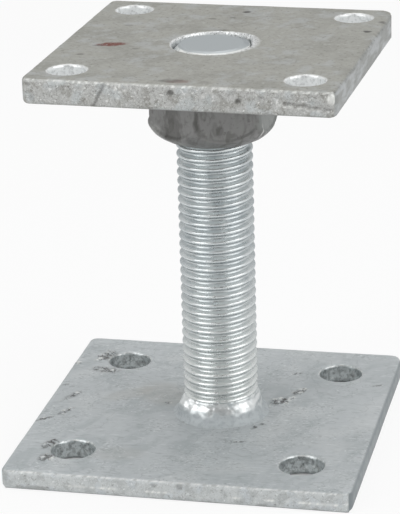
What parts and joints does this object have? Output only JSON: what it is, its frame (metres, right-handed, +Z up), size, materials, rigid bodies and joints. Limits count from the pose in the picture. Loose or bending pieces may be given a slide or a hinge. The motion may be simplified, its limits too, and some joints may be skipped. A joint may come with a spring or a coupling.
{
  "type": "adjustable post base",
  "caption": "Galvanised steel post base: square foot plate with a welded threaded rod, and a smaller square head plate that rides on a hexagon nut to set the height.",
  "frame": {"origin": "middle of the base plate's underside, where it stands on the concrete", "axes": "+Z up along the threaded rod, X and Y along the base plate's sides"},
  "size_m": [0.11, 0.11, 0.1295],
  "materials": {
    "zinc_bright": "hot-dip galvanised, fairly bright and slightly blue",
    "zinc_dull": "hot-dip galvanised, dull warm grey"
  },
  "bodies": {
    "base": {"base_plate": "zinc_bright", "threaded_rod": "zinc_bright", "foot_weld": "zinc_bright"},
    "head": {"head_plate": "zinc_dull"},
    "nut": {"hex_nut": "zinc_dull"}
  },
  "joints": [
    {"name": "height_adjust", "type": "slide", "parent": "base", "child": "head", "axis": [0, 0, 1], "range_m": [-0.08, 0.0075]},
    {"name": "nut_turn", "type": "hinge", "parent": "head", "child": "nut", "pos_m": [0.0033, 0.0006, 0.1215], "axis": [0, 0, 1], "range_deg": [-9600, 900]}
  ],
  "couplings": [
    {"joint": "nut_turn", "follows": "height_adjust", "rad_per_m": 2094.4}
  ]
}
